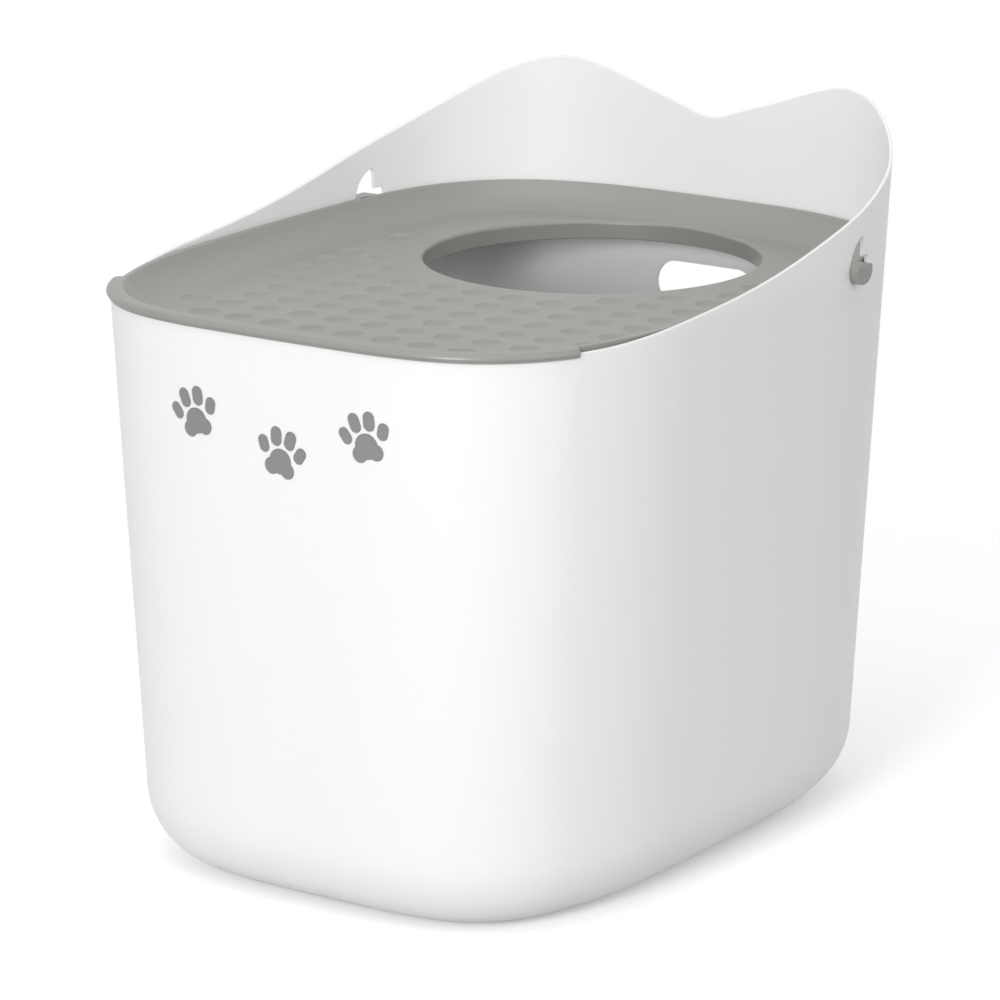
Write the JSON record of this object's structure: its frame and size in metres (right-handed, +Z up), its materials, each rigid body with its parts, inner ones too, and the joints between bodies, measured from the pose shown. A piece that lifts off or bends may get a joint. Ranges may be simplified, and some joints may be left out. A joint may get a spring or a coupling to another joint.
{
  "type": "top entry litter box",
  "caption": "Tall drafted litter bin with an ear-shaped rear edge, and a dished lid with a round way in that lifts on side pegs.",
  "frame": {"origin": "middle of the base, on the surface that the bin stands on", "axes": "+Z up, -Y to the front edge with the lip, +Y to the ears, +X to the right seen from the front"},
  "size_m": [0.3878, 0.4807, 0.4473],
  "materials": {
    "white_plastic": "satin moulded white",
    "grey_plastic": "fine matt moulded warm grey",
    "inlay_plastic": "satin grey"
  },
  "bodies": {
    "bin": {"bin": "white_plastic", "paw_print_inlays": "inlay_plastic"},
    "lid": {"lid": "grey_plastic"}
  },
  "joints": [
    {"name": "lid_hinge", "type": "hinge", "parent": "bin", "child": "lid", "pos_m": [0, 0.108, 0.3615], "axis": [-1, 0, 0], "range_deg": [0, 95]}
  ]
}
